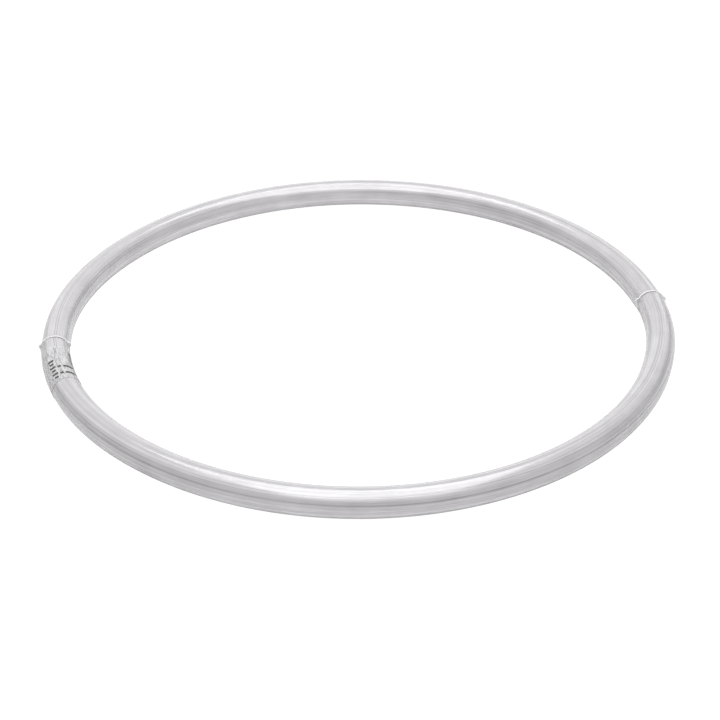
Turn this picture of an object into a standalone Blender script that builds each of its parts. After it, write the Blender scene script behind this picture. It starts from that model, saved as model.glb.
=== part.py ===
"""Rhythmic hoop: two half rings of hollow plastic tube, pushed onto two ribbed plugs, with a clear label.

The hoop lies flat, with its origin at the centre of its underside and +Z up. Its joints are on the X axis:
left_plug at -X and right_plug at +X. The near half is on the -Y side and the far half on the +Y side.
The far half pulls off along +Y.
"""

from math import atan, atan2, cos, degrees, floor, pi, radians, sin, tan

import bmesh
import bpy
from mathutils import Matrix, Vector

# Driving dimensions, in metres and degrees.
OUTER_DIAMETER = 0.580  # across the hoop, over the tube
TUBE_R = 0.0130
TUBE_WALL = 0.0015
TUBE_SIDES = 24
GAP = 0.0003  # between pieces that touch

# Each half ring is straight where a plug fills it, so the ring has a slight corner at each joint.
SOCKET = 0.020  # length of the straight stretch
KINK = 4.2  # degrees that each socket leans in from the joint's tangent
SWELL = 0.0002  # how far the ring swells midway between the joints
SQUARE_END = 0.0012  # each tube's end turns square to Y over this length

# The four tube ends: how far each stands outside the round ring, how far the ring is drawn in beside it, and how
# many degrees from it. The near half is a little wider than the far half, so there is a slight step at each joint.
NEAR_LEFT = (0.0031, 0.0006, 47.0)
NEAR_RIGHT = (0.0014, 0.0012, 26.0)
FAR_LEFT = (0.0025, 0.0006, 47.0)
FAR_RIGHT = (0.0006, 0.0003, 34.0)
STEPS = 48  # cross-sections along each half ring

# Plug: a thin collar with two small ears between the tube ends, and a hollow ribbed spigot in each tube.
COLLAR_R = 0.0136  # to its flats
COLLAR_T = 0.0018
COLLAR_CHAMFER = 0.0003
COLLAR_SIDES = 32
EAR_R = 0.0022
EAR_T = 0.0014
EAR_SIDES = 20
EAR_FROM_AXIS = 0.0133
EAR_RISE = 16.0  # degrees that each ear stands above the collar's outermost and innermost points
SPIGOT_LENGTH = 0.0190  # from the collar's middle
SPIGOT_ROOT_R = 0.0086  # between the ribs
SPIGOT_TIP_R = 0.0078
PLUG_BORE_R = 0.0064
BORE_SIDES = 24
RIBS = 12
RIB_ROOT_R = 0.0103
RIB_TIP_R = 0.0087

# Label: a clear film wrapped round the near half, just past the left plug.
LABEL_FROM = 1  # cross-sections from the left joint
LABEL_TO = 4
LABEL_T = 0.0002

RING_R = OUTER_DIAMETER / 2 - TUBE_R - SWELL
LEFT_OUT = (NEAR_LEFT[0] + FAR_LEFT[0]) / 2  # how far each plug stands outside the round ring
RIGHT_OUT = (NEAR_RIGHT[0] + FAR_RIGHT[0]) / 2
CENTRE_X = (LEFT_OUT - RIGHT_OUT) / 2  # puts the origin midway between the two collars
CENTRE_Z = COLLAR_R  # puts the collars' undersides at z = 0
LEFT_X = CENTRE_X - RING_R - LEFT_OUT
RIGHT_X = CENTRE_X + RING_R + RIGHT_OUT
TUBE_END = COLLAR_T / 2 + GAP


def clear_scene():
    for ob in list(bpy.data.objects):
        bpy.data.objects.remove(ob)


def new_collection(name):
    col = bpy.data.collections.new(name)
    bpy.context.scene.collection.children.link(col)
    return col


def material(name, colour, roughness, transmission=0.0):
    mat = bpy.data.materials.new(name)
    mat.use_nodes = True
    shader = mat.node_tree.nodes["Principled BSDF"]
    shader.inputs["Base Color"].default_value = (*colour, 1.0)
    shader.inputs["Roughness"].default_value = roughness
    shader.inputs["Metallic"].default_value = 0.0
    shader.inputs["Transmission Weight"].default_value = transmission
    return mat


def add_object(name, data, col, mat=None):
    ob = bpy.data.objects.new(name, data)
    col.objects.link(ob)
    if mat is not None:
        ob.data.materials.append(mat)
    return ob


def hermite(t, start, start_slope, end):
    """Cubic from start, with its slope per unit of t, to end, where it is level."""
    rise = 3 * t**2 - 2 * t**3
    return (1 - rise) * start + (t**3 - 2 * t**2 + t) * start_slope + rise * end


def radius_at(angle, end):
    """Radius of the centreline, angle degrees (up to 90) round from one of the tube ends."""
    corner, depth, dip_angle = end
    kink = radians(KINK)
    apex = RING_R + corner
    socket_angle = degrees(atan(SOCKET * cos(kink) / (apex - SOCKET * sin(kink))))
    if angle <= socket_angle:
        return apex * cos(kink) / cos(kink - radians(angle))
    if angle <= dip_angle:
        lean = kink - radians(socket_angle)
        start = apex * cos(kink) / cos(lean)
        span = dip_angle - socket_angle
        slope = -start * tan(lean) * radians(span)
        return hermite((angle - socket_angle) / span, start, slope, RING_R - depth)
    return hermite((angle - dip_angle) / (90 - dip_angle), RING_R - depth, 0.0, RING_R + SWELL)


def tube_ends(side):
    """The right and left ends of the half ring on the +Y or the -Y side."""
    return (FAR_RIGHT, FAR_LEFT) if side > 0 else (NEAR_RIGHT, NEAR_LEFT)


def ring_point(step, side):
    """The centreline's point a number of steps round from the right joint, on the +Y or the -Y side."""
    angle = 180 * step / STEPS
    right, left = tube_ends(side)
    r = radius_at(angle, right) if angle <= 90 else radius_at(180 - angle, left)
    return Vector((CENTRE_X + r * cos(radians(angle)), side * r * sin(radians(angle)), CENTRE_Z))


def half_ring_path(side):
    """Centreline of one half ring, from the right joint to the left one."""
    right, left = tube_ends(side)
    right_x = CENTRE_X + RING_R + right[0]
    left_x = CENTRE_X - RING_R - left[0]
    start = [Vector((right_x, side * y, CENTRE_Z)) for y in (TUBE_END, TUBE_END + SQUARE_END)]
    end = [Vector((left_x, side * y, CENTRE_Z)) for y in (TUBE_END + SQUARE_END, TUBE_END)]
    return start + [ring_point(step, side) for step in range(1, STEPS)] + end


def tube(name, path, radius, wall, col, mat):
    """Hollow tube along a path, open at both ends, with a flat facet along its underside."""
    curve = bpy.data.curves.new(name, "CURVE")
    curve.dimensions = "3D"
    curve.twist_mode = "Z_UP"
    curve.bevel_depth = radius
    curve.bevel_resolution = TUBE_SIDES // 2 - 2
    curve.render_resolution_u = 0
    spline = curve.splines.new("POLY")
    spline.points.add(len(path) - 1)
    for point, place in zip(spline.points, path):
        point.co = (*place, 1.0)
        point.tilt = pi / TUBE_SIDES
    ob = add_object(name, curve, col, mat)
    shell = ob.modifiers.new("wall", "SOLIDIFY")
    shell.thickness = wall
    shell.offset = -1.0
    shell.use_even_offset = True
    return ob


def round_bar(name, root_r, tip_r, start, end, sides, col):
    """Solid bar along Z from start to end, with its radius to the flats going from root_r to tip_r."""
    bm = bmesh.new()
    to_corner = 1 / cos(pi / sides)
    bmesh.ops.create_cone(
        bm,
        cap_ends=True,
        segments=sides,
        radius1=root_r * to_corner,
        radius2=tip_r * to_corner,
        depth=end - start,
        matrix=Matrix.Translation((0, 0, (start + end) / 2)) @ Matrix.Rotation(pi / sides, 4, "Z"),
    )
    return mesh_object(name, bm, col)


def spigot(name, col):
    """Tapered bar along Z whose corners are raised in pairs into lengthways ribs."""
    sides = 4 * RIBS
    ob = round_bar(name, SPIGOT_ROOT_R, SPIGOT_TIP_R, 0, SPIGOT_LENGTH, sides, col)
    for vert in ob.data.vertices:
        corner = floor(atan2(vert.co.y, vert.co.x) / (2 * pi / sides))
        if corner % 4 < 2:
            rib_r = RIB_TIP_R if vert.co.z > SPIGOT_LENGTH / 2 else RIB_ROOT_R
            vert.co.xy *= rib_r / vert.co.xy.length
    return ob


def mesh_object(name, bm, col):
    mesh = bpy.data.meshes.new(name)
    bm.to_mesh(mesh)
    bm.free()
    return add_object(name, mesh, col)


def combine(base, others, operation):
    for other in others:
        other.hide_render = True
        other.display_type = "WIRE"
        cut = base.modifiers.new(other.name, "BOOLEAN")
        cut.operation = operation
        cut.object = other


def collar(col):
    """Ring with chamfered rims, lying square to Y."""
    ob = round_bar("collar", COLLAR_R, COLLAR_R, -COLLAR_T / 2, COLLAR_T / 2, COLLAR_SIDES, col)
    ob.data.transform(Matrix.Rotation(-pi / 2, 4, "X"))
    chamfer = ob.modifiers.new("chamfer", "BEVEL")
    chamfer.width = COLLAR_CHAMFER
    chamfer.segments = 1
    return ob


def ears(col):
    """Two short round bars along Y, which stand out of the collar on its outer and inner sides."""
    pair = []
    for turn in (EAR_RISE, 180 - EAR_RISE):
        ob = round_bar("ear", EAR_R, EAR_R, -EAR_T / 2, EAR_T / 2, EAR_SIDES, col)
        centre = EAR_FROM_AXIS * Vector((cos(radians(turn)), 0, sin(radians(turn))))
        ob.data.transform(Matrix.Translation(centre) @ Matrix.Rotation(-pi / 2, 4, "X"))
        pair.append(ob)
    return pair


def plug_mesh(cutters):
    """Mesh of a plug whose spigots lean towards +X, made from a collar, ears, spigots and a bore through them."""
    base = collar(cutters)
    added = ears(cutters)
    bores = []
    for side, word in ((1, "far"), (-1, "near")):
        lean = Matrix.Rotation(-side * radians(KINK), 4, "Z") @ Matrix.Rotation(-side * pi / 2, 4, "X")
        added.append(spigot(f"{word}_spigot", cutters))
        end = SPIGOT_LENGTH + COLLAR_T
        bores.append(round_bar(f"{word}_bore", PLUG_BORE_R, PLUG_BORE_R, -COLLAR_T, end, BORE_SIDES, cutters))
        added[-1].data.transform(lean)
        bores[-1].data.transform(lean)
    combine(base, added, "UNION")
    combine(base, bores, "DIFFERENCE")
    graph = bpy.context.evaluated_depsgraph_get()
    mesh = bpy.data.meshes.new_from_object(base.evaluated_get(graph), depsgraph=graph)
    for ob in [base, *added, *bores]:
        bpy.data.objects.remove(ob)
    mesh.name = "plug"
    mesh.shade_smooth()
    mesh.set_sharp_from_angle(angle=radians(30))
    return mesh


def build():
    clear_scene()
    hoop = new_collection("rhythmic_hoop")
    cutters = new_collection("cutters")
    clear_plastic = material("natural_plastic", (0.86, 0.86, 0.87), 0.18, 0.6)
    plug_plastic = material("plug_plastic", (0.78, 0.78, 0.80), 0.35, 0.2)
    film = material("label_film", (0.93, 0.93, 0.94), 0.12, 0.8)

    near_path = half_ring_path(-1)
    tube("near_half_tube", near_path, TUBE_R, TUBE_WALL, hoop, clear_plastic)
    tube("far_half_tube", half_ring_path(1), TUBE_R, TUBE_WALL, hoop, clear_plastic)

    mesh = plug_mesh(cutters)
    mesh.materials.clear()
    mesh.materials.append(plug_plastic)
    left = add_object("left_plug", mesh, hoop)
    left.location = (LEFT_X, 0, CENTRE_Z)
    right = add_object("right_plug", mesh, hoop)
    right.location = (RIGHT_X, 0, CENTRE_Z)
    right.rotation_euler = (0, 0, pi)

    label_path = [ring_point(STEPS - step, -1) for step in range(LABEL_FROM, LABEL_TO + 1)]
    tube("label_film", label_path, TUBE_R + GAP + LABEL_T, LABEL_T, hoop, film)


build()
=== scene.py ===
"""Rhythmic hoop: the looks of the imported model, with a studio floor, light and camera.

The joints lie on the X axis, with the near half on the -Y side. Turns round the tube are measured from its
outer side, so 0 points away from the hoop's middle, 90 degrees is the top and 180 degrees the inner side.
"""

from math import atan, cos, degrees, pi, radians, sin, tan

import bmesh
import bpy
from mathutils import Matrix, Vector, noise


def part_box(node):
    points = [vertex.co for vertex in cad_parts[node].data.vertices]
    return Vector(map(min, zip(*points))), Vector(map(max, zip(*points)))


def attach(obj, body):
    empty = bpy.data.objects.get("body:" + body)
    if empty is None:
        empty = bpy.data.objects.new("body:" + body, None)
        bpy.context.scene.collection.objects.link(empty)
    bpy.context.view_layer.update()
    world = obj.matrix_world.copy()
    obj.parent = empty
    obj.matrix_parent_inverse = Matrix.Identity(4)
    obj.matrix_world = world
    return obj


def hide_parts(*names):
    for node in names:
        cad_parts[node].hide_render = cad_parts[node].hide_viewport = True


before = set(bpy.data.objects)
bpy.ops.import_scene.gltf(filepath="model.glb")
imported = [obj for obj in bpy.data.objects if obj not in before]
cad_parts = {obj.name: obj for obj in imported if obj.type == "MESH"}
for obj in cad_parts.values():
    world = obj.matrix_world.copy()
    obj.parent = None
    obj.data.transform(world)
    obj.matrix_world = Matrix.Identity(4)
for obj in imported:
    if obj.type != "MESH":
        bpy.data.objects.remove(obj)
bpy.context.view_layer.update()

# Places from the frame.
LEFT_LO, LEFT_HI = (Vector(corner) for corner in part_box("left_plug"))
RIGHT_LO, RIGHT_HI = (Vector(corner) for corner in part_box("right_plug"))
COLLAR_R = (LEFT_HI.z - LEFT_LO.z) / 2
EAR_REACH = (LEFT_HI.x - LEFT_LO.x) / 2
CENTRE_Z = (LEFT_HI.z + LEFT_LO.z) / 2
LEFT_X = (LEFT_HI.x + LEFT_LO.x) / 2
RIGHT_X = (RIGHT_HI.x + RIGHT_LO.x) / 2
TUBE_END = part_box("far_half_tube")[0][1]  # from a joint's middle to a tube's cut end

# The tube and the ring's shape, as in the CAD model, in metres and degrees.
TUBE_R = 0.0130
TUBE_WALL = 0.0015
SOCKET = 0.020
KINK = 4.2
SWELL = 0.0002
SQUARE_END = 0.0012

# The four tube ends: how far each stands out, how far the ring is drawn in beside it, and how far round.
NEAR_LEFT = (0.0031, 0.0006, 47.0)
NEAR_RIGHT = (0.0014, 0.0012, 26.0)
FAR_LEFT = (0.0025, 0.0006, 47.0)
FAR_RIGHT = (0.0006, 0.0003, 34.0)
LEFT_OUT = (NEAR_LEFT[0] + FAR_LEFT[0]) / 2
RIGHT_OUT = (NEAR_RIGHT[0] + FAR_RIGHT[0]) / 2
CENTRE_X = (LEFT_OUT - RIGHT_OUT) / 2
RING_R = (RIGHT_X - LEFT_X - LEFT_OUT - RIGHT_OUT) / 2

# Tube mesh.
TUBE_SIDES = 96
TUBE_STEPS = 240
RIM_ROUND = 0.00025
RIM_STEPS = 3

# Plug.
COLLAR_T = 0.0018
COLLAR_ROUND = 0.0004
EAR_RISE = 16.0  # degrees from the outermost and innermost points up to each ear
EAR_HALF_TURN = 10.0
SPIGOT_LENGTH = 0.0190
SPIGOT_ROOT_R = 0.0086
SPIGOT_TIP_R = 0.0078
PLUG_BORE_R = 0.0064
RIBS = 12
RIB_TURN = 10.0  # degrees from the outer side to the first rib
RIB_ROOT_R = 0.0103
RIB_TIP_R = 0.0087
GROOVE_SHADE_R = (0.0073, 0.0092)  # painted shade in the grooves between the ribs: how far out it lies
GROOVE_SHADE_SOFT = 0.0005
LEAD_IN = 0.0022  # length of the rounded tip
LEAD_IN_FALL = 0.0012
SPIGOT_START = 0.0026  # where the leaning stretch begins, clear of the collar
PLUG_SIDES = 240

# Label film and its print, with places along the near half in degrees from the left joint.
FILM_FROM = 3.75
FILM_TO = 15.0
FILM_R = TUBE_R + 0.00022
FILM_T = 0.00008
FILM_STEPS = 110
FILM_SIDES = 220
WRINKLE = 0.00008
SEAM_TURN = 158.0
LAP_LENGTH = 0.0055
LAP_SHADOW_TURN = (radians(142), radians(158))  # painted shadow along the lapped edge: where it lies round the tube and along it
LAP_SHADOW_ALONG = (0.020, 0.049)
RING_LINES = (10.8, 13.1)
RING_LINE_TURNS = ((80.0, 93.0), (101.0, 178.0))  # each line is a dash and a long stroke
RING_LINE_WIDTH = 0.0028
INK_LIFT = 0.00008
INK_T = 0.00002
TICKS = 6
TICK_WIDTH = 0.0024
TICK_PITCH = 0.0052
TICK_LENGTHS = (0.0054, 0.0036)
TICK_TURN = 61.0
TICKS_FROM = 8.4

# Draw lines along the tube: the turns they lie at, and half their widths.
DRAW_LINE_PLACES = ((141.0, 1.6), (97.0, 1.4), (88.0, 1.8), (52.0, 1.4), (24.0, 1.6))
DRAW_LINES = [(radians(at - half), radians(at + half)) for at, half in DRAW_LINE_PLACES]
DRAW_LINE_SOFT = radians(0.8)

# Colours.
TUBE_DARK = (0.28, 0.272, 0.282)
TUBE_LIGHT = (0.37, 0.36, 0.374)
DRAW_LINE_GREY = (0.14, 0.137, 0.145)
PLUG_DARK = (0.36, 0.355, 0.365)
PLUG_LIGHT = (0.52, 0.515, 0.525)
# grey of the painted shade between the plug's ribs
GROOVE_SHADE_GREY = (0.1, 0.1, 0.105)
# painted shade and painted highlight of the film's creases, as darker and lighter streaks
FILM_PAINTED_SHADE = (0.25, 0.245, 0.255)
FILM_PAINTED_HIGHLIGHT = (0.8, 0.8, 0.8)
# grey and opacity of the painted shadow along the film's lap
LAP_SHADOW_GREY = (0.06, 0.055, 0.06)
LAP_SHADOW_ALPHA = 0.72
INK_DARK = (0.003, 0.003, 0.004)
INK_WORN = (0.03, 0.03, 0.034)

# Studio: a glowing white floor, a soft sky and a long soft box overhead.
FLOOR_HALF = 8.0
FLOOR_LIGHT = 3.1  # the floor's strength in diffuse light
FLOOR_GLOSS = 0.73  # its strength in reflections
SHADE_HALF = 0.013  # the floor is dimmer under the tube, this far either side of its middle
SHADE_DIM = 0.35
SKY_STOPS = ((0.0, 0.02), (0.25, 0.1), (0.5, 0.15), (0.75, 0.75), (1.0, 0.65))  # height and grey
SKY_STRENGTH = 2.0
SKY_SEEN = 1.6
BACKDROP = 0.6  # how much higher the sky counts on the far side, like a pale sweep behind the hoop
BOX_SIZE = (1.9, 3.0)
BOX_HEIGHT = 2.1
BOX_RADIANCE = 3.9

# Camera, set from the hoop's middle.
CAMERA_AZIMUTH = -7.9
CAMERA_ELEVATION = 31.751
CAMERA_ROLL = -0.353
CAMERA_DISTANCE = 6.009 * RING_R
CAMERA_ASIDE = 0.0007 * RING_R
CAMERA_BELOW = 0.1161 * RING_R
CAMERA_LENS = 89.63


def smoothstep(low, high, value):
    t = min(max((value - low) / (high - low), 0.0), 1.0)
    return t * t * (3 - 2 * t)


# ---------------------------------------------------------------- the ring's centreline


def hermite(t, start, start_slope, end):
    """Cubic from start, with its slope per unit of t, to end, where it is level."""
    rise = 3 * t**2 - 2 * t**3
    return (1 - rise) * start + (t**3 - 2 * t**2 + t) * start_slope + rise * end


def tube_ends(side):
    """The right and left ends of the half ring on the +Y or the -Y side."""
    return (FAR_RIGHT, FAR_LEFT) if side > 0 else (NEAR_RIGHT, NEAR_LEFT)


def radius_at(angle, end):
    """Radius of the centreline, angle degrees (up to 90) round from one of the tube ends."""
    corner, depth, dip_angle = end
    kink = radians(KINK)
    apex = RING_R + corner
    socket_angle = degrees(atan(SOCKET * cos(kink) / (apex - SOCKET * sin(kink))))
    if angle <= socket_angle:
        return apex * cos(kink) / cos(kink - radians(angle))
    if angle <= dip_angle:
        lean = kink - radians(socket_angle)
        start = apex * cos(kink) / cos(lean)
        span = dip_angle - socket_angle
        slope = -start * tan(lean) * radians(span)
        return hermite((angle - socket_angle) / span, start, slope, RING_R - depth)
    return hermite((angle - dip_angle) / (90 - dip_angle), RING_R - depth, 0.0, RING_R + SWELL)


def ring_point(angle, side):
    """The centreline's point, angle degrees round from the right joint, on the +Y or the -Y side."""
    right, left = tube_ends(side)
    r = radius_at(angle, right) if angle <= 90 else radius_at(180 - angle, left)
    return Vector((CENTRE_X + r * cos(radians(angle)), side * r * sin(radians(angle)), CENTRE_Z))


def section(angle, side):
    """Centre of the tube's cross-section there, and its unit outward direction."""
    step = 0.05
    along = ring_point(min(angle + step, 180), side) - ring_point(max(angle - step, 0), side)
    outward = along.cross(Vector((0, 0, 1))) * side
    return ring_point(angle, side), outward.normalized()


# ---------------------------------------------------------------- meshes


def add_mesh(name, points, faces, flows, mat, sharp=35.0):
    """Object of these points and faces. Each point keeps its flow: its place across (x, y) and along."""
    mesh = bpy.data.meshes.new(name)
    mesh.from_pydata(points, [], faces)
    flow = mesh.attributes.new("flow", "FLOAT_VECTOR", "POINT")
    flow.data.foreach_set("vector", [value for place in flows for value in place])
    bm = bmesh.new()
    bm.from_mesh(mesh)
    bmesh.ops.recalc_face_normals(bm, faces=bm.faces)
    bm.to_mesh(mesh)
    bm.free()
    mesh.shade_smooth()
    mesh.set_sharp_from_angle(angle=radians(sharp))
    mesh.materials.append(mat)
    ob = bpy.data.objects.new(name, mesh)
    bpy.context.scene.collection.objects.link(ob)
    return ob


def loft(name, loops, mat):
    """Closed surface through rings of (point, flow) pairs, the last joined to the first."""
    count = len(loops[0])
    faces = []
    for i in range(len(loops)):
        a, b = i * count, (i + 1) % len(loops) * count
        faces += [(a + j, a + (j + 1) % count, b + (j + 1) % count, b + j) for j in range(count)]
    points = [point for loop in loops for point, _ in loop]
    flows = [flow for loop in loops for _, flow in loop]
    return add_mesh(name, points, faces, flows, mat)


def ring_of_points(centre, across, radius_of_turn, count, along):
    """One cross-section, as (point, flow) pairs. across points to turn 0."""
    ring = []
    for j in range(count):
        turn = 2 * pi * j / count
        r = radius_of_turn(turn)
        place = centre + r * (cos(turn) * across + sin(turn) * Vector((0, 0, 1)))
        ring.append((place, (r * cos(turn), r * sin(turn), along)))
    return ring


def half_tube(name, side, mat):
    """Hollow half ring with rounded rims."""
    rim = []
    for k in range(RIM_STEPS + 1):
        turn = pi / 2 * k / RIM_STEPS
        rim.append((TUBE_END + RIM_ROUND * (1 - cos(turn)), RIM_ROUND * (1 - sin(turn))))
    right, left = tube_ends(side)
    right_x = CENTRE_X + RING_R + right[0]
    left_x = CENTRE_X - RING_R - left[0]
    stations = [(Vector((right_x, side * y, CENTRE_Z)), Vector((1, 0, 0)), fall) for y, fall in rim]
    for i in range(1, TUBE_STEPS):
        centre, outward = section(180 * i / TUBE_STEPS, side)
        if abs(centre.y) > TUBE_END + SQUARE_END:
            stations.append((centre, outward, 0.0))
    for y, fall in reversed(rim):
        stations.append((Vector((left_x, side * y, CENTRE_Z)), Vector((-1, 0, 0)), fall))
    along = 0.0
    outer = []
    inner = []
    for i, (centre, outward, fall) in enumerate(stations):
        along += (centre - stations[i - 1][0]).length if i else 0.0
        outer.append(ring_of_points(centre, outward, lambda turn: TUBE_R - fall, TUBE_SIDES, along))
        bore = TUBE_R - TUBE_WALL + fall
        inner.append(ring_of_points(centre, outward, lambda turn: bore, TUBE_SIDES, along))
    return loft(name, outer + inner[::-1], mat)


def plug(name, x, facing, mat):
    """Connector at x. Its spigots lean towards the hoop's middle, which is on the facing side (+1 or -1)."""

    def profile(share, fall):
        """Radius by turn of a ribbed cross-section, share of the way along a spigot."""
        core = SPIGOT_ROOT_R + (SPIGOT_TIP_R - SPIGOT_ROOT_R) * share - fall / 4
        rib = RIB_ROOT_R + (RIB_TIP_R - RIB_ROOT_R) * share - fall
        pitch = 360 / RIBS

        def radius(turn):
            off = abs((degrees(turn) - RIB_TURN + pitch / 2) % pitch - pitch / 2)
            return core + max(rib - core, 0.0) * (1 - smoothstep(pitch * 0.16, pitch * 0.38, off))

        return radius

    def leaning(side, u, radius):
        lean = radians(KINK)
        centre = Vector((x + facing * u * sin(lean), side * u * cos(lean), CENTRE_Z))
        across = Vector((-facing * cos(lean), side * sin(lean), 0))
        return ring_of_points(centre, across, radius, PLUG_SIDES, side * u)

    def square(y, radius):
        return ring_of_points(Vector((x, y, CENTRE_Z)), Vector((-facing, 0, 0)), radius, PLUG_SIDES, y)

    def ear(turn):
        """How far the collar's two ears stand out at this turn."""
        off = min(abs(degrees(turn) - EAR_RISE), abs(degrees(turn) - (180 - EAR_RISE)))
        reach = EAR_REACH / cos(radians(EAR_RISE - EAR_HALF_TURN / 2)) - COLLAR_R
        return reach * max(1 - (off / EAR_HALF_TURN) ** 2, 0.0) ** 0.5

    def spigot(side):
        """Cross-sections from the tip to the collar."""
        loops = []
        for k in range(6):
            turn = pi / 2 * k / 5
            u = SPIGOT_LENGTH - LEAD_IN * (1 - cos(turn)) if k else SPIGOT_LENGTH
            fall = LEAD_IN_FALL * (1 - sin(turn))
            loops.append(leaning(side, u, profile(u / SPIGOT_LENGTH, fall)))
        straight = SPIGOT_LENGTH - LEAD_IN
        for k in range(1, 9):
            u = straight + (SPIGOT_START - straight) * k / 8
            loops.append(leaning(side, u, profile(u / SPIGOT_LENGTH, 0.0)))
        loops.append(square(side * COLLAR_T / 2, profile(0.0, 0.0)))
        return loops

    rim = []
    for k in range(6):
        turn = pi / 2 * k / 5
        rim.append((COLLAR_T / 2 - COLLAR_ROUND * (1 - cos(turn)), COLLAR_R - COLLAR_ROUND * (1 - sin(turn))))
    collar = [square(y, lambda turn: r + ear(turn)) for y, r in rim]
    collar += [square(-y, lambda turn: r + ear(turn)) for y, r in reversed(rim)]
    bore = [leaning(-1, u, lambda turn: PLUG_BORE_R) for u in (SPIGOT_LENGTH, SPIGOT_START)]
    bore += [leaning(1, u, lambda turn: PLUG_BORE_R) for u in (SPIGOT_START, SPIGOT_LENGTH)]
    return loft(name, spigot(1) + collar + spigot(-1)[::-1] + bore, mat)


def film_radius(turn, along, lift):
    """Radius of the film's surface: fine creases that run along the tube, deeper towards its ends."""
    across = Vector((cos(turn), sin(turn))) * FILM_R
    crease = noise.noise(Vector((across.x * 420, across.y * 420, along * 90)))
    fine = noise.noise(Vector((across.x * 1100, across.y * 1100, along * 160 + 7)))
    return FILM_R + WRINKLE * (0.9 + 0.7 * crease + 0.3 * fine) + lift


def film_patch(name, angles, turns, lift, thickness, mat, lift_of_turn=None):
    """Closed sheet that follows the film, over a grid of angles from the left joint and of turns."""
    rows = len(angles)
    cols = len(turns)
    points = []
    flows = []
    for layer in (thickness, 0.0):
        for angle in angles:
            centre, outward = section(180 - angle, -1)
            along = radians(angle) * RING_R
            for turn_degrees in turns:
                turn = radians(turn_degrees)
                extra = lift_of_turn(turn_degrees, angle) if lift_of_turn else 0.0
                r = film_radius(turn, along, lift + extra + layer)
                points.append(centre + r * (cos(turn) * outward + sin(turn) * Vector((0, 0, 1))))
                flows.append((r * cos(turn), r * sin(turn), along))
    base = rows * cols
    faces = []
    for i in range(rows - 1):
        for j in range(cols - 1):
            a = i * cols + j
            faces.append((a, a + 1, a + cols + 1, a + cols))
            faces.append((base + a, base + a + cols, base + a + cols + 1, base + a + 1))
    edge = [i * cols for i in range(rows)] + [(rows - 1) * cols + j for j in range(1, cols)]
    edge += [i * cols + cols - 1 for i in range(rows - 2, -1, -1)] + list(range(cols - 2, 0, -1))
    for a, b in zip(edge, edge[1:] + edge[:1]):
        faces.append((a, b, base + b, base + a))
    return add_mesh(name, points, faces, flows, mat, sharp=60.0)


def spread(first, last, count):
    return [first + (last - first) * i / (count - 1) for i in range(count)]


def label_film(mat):
    """Clear film once round the tube, with its outer end lapped over its start on the inner side."""
    lap = degrees(LAP_LENGTH / FILM_R)

    def lap_lift(turn, angle):
        return 2 * FILM_T * smoothstep(SEAM_TURN + 360 - lap * 1.2, SEAM_TURN + 360, turn)

    angles = spread(FILM_FROM, FILM_TO, FILM_STEPS)
    turns = spread(SEAM_TURN, SEAM_TURN + 360 + lap, FILM_SIDES)
    return film_patch("clear_label", angles, turns, 0.0, FILM_T, mat, lap_lift)


def ring_line(angle, first, last, index, mat):
    half = degrees(RING_LINE_WIDTH / RING_R) / 2
    turns = spread(first, last, max(8, round(abs(last - first) / 2)))
    angles = spread(angle - half, angle + half, 9)
    return film_patch(f"ring_line_{index}", angles, turns, FILM_T + INK_LIFT, INK_T, mat)


def tick(angle, middle, length, index, mat):
    half_angle = degrees(TICK_WIDTH / RING_R) / 2
    half_turn = degrees(length / FILM_R) / 2
    turns = spread(middle - half_turn, middle + half_turn, 16)
    angles = spread(angle - half_angle, angle + half_angle, 7)
    return film_patch(f"size_tick_{index}", angles, turns, FILM_T + INK_LIFT, INK_T, mat)


# ---------------------------------------------------------------- materials


class Graph:
    """A node tree, with short ways to add and link nodes."""

    def __init__(self, tree):
        self.tree = tree

    def add(self, kind, **values):
        node = self.tree.nodes.new(kind)
        for key, value in values.items():
            setattr(node, key, value)
        return node

    def link(self, source, target):
        self.tree.links.new(source, target)

    def ramp(self, source, low, high, from_low=0.3, from_high=0.7):
        node = self.add("ShaderNodeMapRange")
        node.inputs["From Min"].default_value = from_low
        node.inputs["From Max"].default_value = from_high
        node.inputs["To Min"].default_value = low
        node.inputs["To Max"].default_value = high
        self.link(source, node.inputs["Value"])
        return node.outputs["Result"]

    def math(self, operation, *values):
        node = self.add("ShaderNodeMath", operation=operation)
        for socket, value in zip(node.inputs, values):
            if isinstance(value, (int, float)):
                socket.default_value = value
            else:
                self.link(value, socket)
        return node.outputs["Value"]


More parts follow.
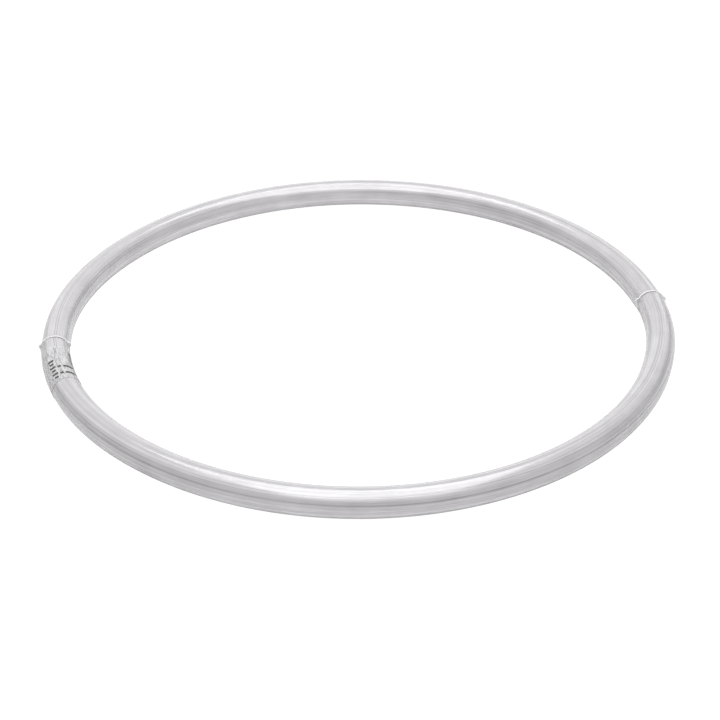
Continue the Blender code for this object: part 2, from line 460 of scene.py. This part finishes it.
class Look(Graph):
    """A piece's material."""

    def __init__(self, name, roughness):
        self.mat = bpy.data.materials.new(name)
        self.mat.use_nodes = True
        super().__init__(self.mat.node_tree)
        self.shader = self.tree.nodes["Principled BSDF"]
        self.shader.inputs["Roughness"].default_value = roughness
        self.shader.inputs["IOR"].default_value = 1.5

    def flow(self, scale=(1, 1, 1)):
        """Each point's place across and along its piece, scaled per axis."""
        attribute = self.add("ShaderNodeAttribute", attribute_name="flow")
        stretch = self.add("ShaderNodeVectorMath", operation="MULTIPLY")
        stretch.inputs[1].default_value = scale
        self.link(attribute.outputs["Vector"], stretch.inputs[0])
        return stretch.outputs["Vector"]

    def turn_and_along(self):
        """Turn round the tube, in radians, and distance along it."""
        place = self.add("ShaderNodeSeparateXYZ")
        self.link(self.flow(), place.inputs["Vector"])
        return self.math("ARCTAN2", place.outputs["Y"], place.outputs["X"]), place.outputs["Z"]

    def noise(self, scale, detail=2.0, rough=0.5, offset=0.0):
        node = self.add("ShaderNodeTexNoise")
        node.inputs["Scale"].default_value = 1.0
        node.inputs["Detail"].default_value = detail
        node.inputs["Roughness"].default_value = rough
        shift = self.add("ShaderNodeVectorMath", operation="ADD")
        shift.inputs[1].default_value = (offset, offset, offset)
        self.link(self.flow(scale), shift.inputs[0])
        self.link(shift.outputs["Vector"], node.inputs["Vector"])
        return node.outputs["Fac"]

    def blend(self, a, b, share):
        """share of a, and the rest of b."""
        return self.math("ADD", self.math("MULTIPLY", a, share), self.math("MULTIPLY", b, 1 - share))

    def window(self, source, low, high, soft):
        """1 where the source is between low and high, with soft edges."""
        up = self.ramp(source, 0.0, 1.0, low - soft, low + soft)
        down = self.ramp(source, 1.0, 0.0, high - soft, high + soft)
        return self.math("MULTIPLY", up, down)

    def mix(self, factor, a, b):
        """a where the factor is 0, and b where it is 1."""
        node = self.add("ShaderNodeMix", data_type="RGBA" if isinstance(b, tuple) else "FLOAT")
        sockets = [socket for socket in node.inputs if socket.enabled]
        self.link(factor, sockets[0])
        for value, socket in ((a, sockets[1]), (b, sockets[2])):
            if isinstance(value, tuple):
                socket.default_value = (*value, 1.0)
            elif isinstance(value, float):
                socket.default_value = value
            else:
                self.link(value, socket)
        return next(socket for socket in node.outputs if socket.enabled)

    def set(self, **sources):
        """Links the shader's inputs, whose names are given with _ for a space."""
        for name, source in sources.items():
            self.link(source, self.shader.inputs[name.replace("_", " ")])

    def bump(self, height, strength, distance):
        node = self.add("ShaderNodeBump")
        node.inputs["Strength"].default_value = strength
        node.inputs["Distance"].default_value = distance
        self.link(height, node.inputs["Height"])
        self.link(node.outputs["Normal"], self.shader.inputs["Normal"])


def tube_plastic():
    """Natural plastic: milky and half clear, with a gloss, and fine draw lines along the tube."""
    m = Look("natural_plastic_look", 0.3)
    fine = m.noise((1500, 1500, 9), 3.0, 0.6)
    broad = m.noise((330, 330, 3), 2.0, 0.5, 11.0)
    cloud = m.noise((70, 70, 45), 3.0, 0.5, 23.0)
    streaks = m.blend(fine, broad, 0.5)
    tone = m.blend(streaks, cloud, 0.6)
    turn, _ = m.turn_and_along()
    lines = m.window(turn, *DRAW_LINES[0], DRAW_LINE_SOFT)
    for low, high in DRAW_LINES[1:]:
        lines = m.math("ADD", lines, m.window(turn, low, high, DRAW_LINE_SOFT))
    shade = m.mix(m.ramp(tone, 0.0, 1.0, 0.35, 0.65), TUBE_DARK, TUBE_LIGHT)
    colour = m.mix(m.math("MULTIPLY", lines, 0.45), shade, DRAW_LINE_GREY)
    m.set(Base_Color=colour, Roughness=m.ramp(streaks, 0.2, 0.36))
    m.set(Alpha=m.ramp(streaks, 0.7, 0.86, 0.35, 0.65))
    m.bump(m.math("SUBTRACT", streaks, lines), 0.35, 0.00012)
    m.shader.inputs["Coat Weight"].default_value = 1.0
    m.shader.inputs["Coat IOR"].default_value = 1.7
    m.shader.inputs["Coat Roughness"].default_value = 0.15
    return m.mat


def plug_plastic():
    """Moulded plastic: pale, with faint flow marks and a satin skin, and painted shade between the ribs."""
    m = Look("moulded_plug_look", 0.35)
    grain = m.noise((900, 900, 900), 3.0, 0.6)
    marks = m.noise((160, 160, 60), 2.0, 0.5, 5.0)
    reach = m.add("ShaderNodeVectorMath", operation="LENGTH")
    m.link(m.flow((1, 1, 0)), reach.inputs[0])
    # painted shade: darker in the grooves between the ribs
    groove_shade = m.window(reach.outputs["Value"], *GROOVE_SHADE_R, GROOVE_SHADE_SOFT)
    shade = m.mix(m.ramp(m.blend(grain, marks, 0.3), 0.0, 1.0), PLUG_DARK, PLUG_LIGHT)
    m.set(Base_Color=m.mix(groove_shade, shade, GROOVE_SHADE_GREY), Roughness=m.ramp(grain, 0.26, 0.42))
    m.bump(grain, 0.2, 0.00008)
    return m.mat


def film_look():
    """Clear film: glossy and creased along the tube, with painted reflection and shade as lighter and darker
    streaks, and a painted shadow along its lap.
    """
    m = Look("clear_film_look", 0.12)
    crease = m.noise((700, 700, 120), 3.0, 0.6)
    fine = m.noise((1900, 1900, 330), 3.0, 0.6, 3.0)
    tone = m.blend(crease, fine, 0.6)
    turn, along = m.turn_and_along()
    # painted shadow: a dark, more opaque band beside the lapped edge
    lap = m.math("MULTIPLY", m.window(turn, *LAP_SHADOW_TURN, 0.05), m.window(along, *LAP_SHADOW_ALONG, 0.003))
    # painted reflection and shade of the creases: lighter and darker streaks, more opaque where darker
    shade = m.mix(m.ramp(tone, 0.0, 1.0, 0.4, 0.6), FILM_PAINTED_SHADE, FILM_PAINTED_HIGHLIGHT)
    m.set(Base_Color=m.mix(lap, shade, LAP_SHADOW_GREY), Roughness=m.ramp(fine, 0.08, 0.25))
    m.set(Alpha=m.mix(lap, m.ramp(tone, 0.42, 0.15, 0.4, 0.6), LAP_SHADOW_ALPHA))
    m.bump(tone, 0.4, 0.0002)
    return m.mat


def ink_look():
    """Dark print, slightly worn."""
    m = Look("label_ink_look", 0.4)
    wear = m.noise((900, 900, 900), 4.0, 0.7)
    m.set(Base_Color=m.mix(m.ramp(wear, 0.0, 1.0, 0.4, 0.75), INK_DARK, INK_WORN))
    m.set(Roughness=m.ramp(wear, 0.3, 0.5))
    m.bump(wear, 0.2, 0.00005)
    return m.mat


# ---------------------------------------------------------------- stage


def floor():
    """White floor that glows evenly. It lights the hoop at other strengths, and less right under the tube."""
    bm = bmesh.new()
    bmesh.ops.create_grid(bm, x_segments=1, y_segments=1, size=FLOOR_HALF)
    mesh = bpy.data.meshes.new("studio_floor")
    bm.to_mesh(mesh)
    bm.free()
    mat = bpy.data.materials.new("studio_white")
    mat.use_nodes = True
    shader = mat.node_tree.nodes["Principled BSDF"]
    shader.inputs["Base Color"].default_value = (0.1, 0.1, 0.1, 1.0)
    shader.inputs["Emission Color"].default_value = (1.0, 1.0, 1.0, 1.0)
    shader.inputs["Roughness"].default_value = 1.0
    shader.inputs["Specular IOR Level"].default_value = 0.0
    g = Graph(mat.node_tree)
    path = g.add("ShaderNodeLightPath")
    glow = g.math("MULTIPLY_ADD", path.outputs["Is Diffuse Ray"], FLOOR_LIGHT - 1, 1.0)
    glow = g.math("MULTIPLY_ADD", path.outputs["Is Glossy Ray"], FLOOR_GLOSS - 1, glow)
    place = g.add("ShaderNodeTexCoord")
    reach = g.add("ShaderNodeVectorMath", operation="LENGTH")
    g.link(place.outputs["Object"], reach.inputs[0])
    under = g.math("COMPARE", reach.outputs["Value"], RING_R, SHADE_HALF)
    shaded = g.math("GREATER_THAN", g.math("SUBTRACT", under, path.outputs["Is Camera Ray"]), 0.5)
    strength = g.math("MULTIPLY", glow, g.ramp(shaded, 1.0, SHADE_DIM, 0.0, 1.0))
    g.link(strength, shader.inputs["Emission Strength"])
    mesh.materials.append(mat)
    ob = bpy.data.objects.new("studio_floor", mesh)
    bpy.context.scene.collection.objects.link(ob)


def sky():
    """Soft light, dark low on the near side, brighter up and to the far side. The camera sees white."""
    world = bpy.data.worlds.new("studio")
    bpy.context.scene.world = world
    world.use_nodes = True
    g = Graph(world.node_tree)
    background = g.tree.nodes["Background"]
    background.inputs["Strength"].default_value = SKY_STRENGTH
    place = g.add("ShaderNodeTexCoord")
    split = g.add("ShaderNodeSeparateXYZ")
    g.link(place.outputs["Generated"], split.inputs[0])
    height = g.math("MULTIPLY_ADD", g.math("MAXIMUM", split.outputs["Y"], 0.0), BACKDROP, split.outputs["Z"])
    shade = g.add("ShaderNodeValToRGB")
    elements = shade.color_ramp.elements
    elements.remove(elements[0])
    for i, (at, grey) in enumerate(SKY_STOPS):
        element = elements[0] if i == 0 else elements.new(at)
        element.position = at
        element.color = (grey, grey, grey, 1.0)
    g.link(height, shade.inputs["Fac"])
    g.link(shade.outputs["Color"], background.inputs["Color"])
    seen = g.add("ShaderNodeBackground")
    seen.inputs["Color"].default_value = (1.0, 1.0, 1.0, 1.0)
    seen.inputs["Strength"].default_value = SKY_SEEN
    path = g.add("ShaderNodeLightPath")
    mix = g.add("ShaderNodeMixShader")
    g.link(path.outputs["Is Camera Ray"], mix.inputs["Fac"])
    g.link(background.outputs[0], mix.inputs[1])
    g.link(seen.outputs[0], mix.inputs[2])
    g.link(mix.outputs[0], g.tree.nodes["World Output"].inputs["Surface"])


def soft_box():
    data = bpy.data.lights.new("soft_box", "AREA")
    data.shape = "RECTANGLE"
    data.size, data.size_y = BOX_SIZE
    data.energy = BOX_RADIANCE * pi * BOX_SIZE[0] * BOX_SIZE[1]
    ob = bpy.data.objects.new("soft_box", data)
    ob.location = (0, 0, BOX_HEIGHT)
    bpy.context.scene.collection.objects.link(ob)


def camera():
    azimuth = radians(CAMERA_AZIMUTH)
    elevation = radians(CAMERA_ELEVATION)
    roll = radians(CAMERA_ROLL)
    back = Vector((sin(azimuth) * cos(elevation), -cos(azimuth) * cos(elevation), sin(elevation)))
    right = Vector((cos(azimuth), sin(azimuth), 0))
    up = right.cross(-back)
    middle = Vector((CENTRE_X, 0, CENTRE_Z))
    place = middle + CAMERA_ASIDE * right - CAMERA_BELOW * up + CAMERA_DISTANCE * back
    across = cos(roll) * right + sin(roll) * up
    upright = cos(roll) * up - sin(roll) * right
    data = bpy.data.cameras.new("camera")
    data.lens = CAMERA_LENS
    ob = bpy.data.objects.new("camera", data)
    bpy.context.scene.collection.objects.link(ob)
    turned = Matrix((across, upright, back)).transposed()
    ob.matrix_world = Matrix.Translation(place) @ turned.to_4x4()
    bpy.context.scene.camera = ob


# ---------------------------------------------------------------- assembly


def assemble():
    plastic = tube_plastic()
    near = half_tube("near_tube", -1, plastic)
    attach(near, "near_half")
    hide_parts("near_half_tube")
    far = half_tube("far_tube", 1, plastic)
    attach(far, "far_half")
    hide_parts("far_half_tube")

    moulded = plug_plastic()
    for word, x, facing in (("left", LEFT_X, 1), ("right", RIGHT_X, -1)):
        piece = plug(f"{word}_ribbed_plug", x, facing, moulded)
        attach(piece, f"{word}_connector")
        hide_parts(f"{word}_plug")

    film = label_film(film_look())
    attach(film, "near_half")
    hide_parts("label_film")

    ink = ink_look()
    print_pieces = []
    for i, angle in enumerate(RING_LINES):
        for j, (first, last) in enumerate(RING_LINE_TURNS):
            print_pieces.append(ring_line(angle, first, last, 2 * i + j, ink))
    for i in range(TICKS):
        angle = TICKS_FROM + degrees(TICK_PITCH * i / RING_R)
        print_pieces.append(tick(angle, TICK_TURN, TICK_LENGTHS[i % 2], i, ink))
    for piece in print_pieces:
        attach(piece, "near_half")


assemble()
floor()
sky()
soft_box()
camera()
bpy.context.scene.view_settings.view_transform = "Standard"
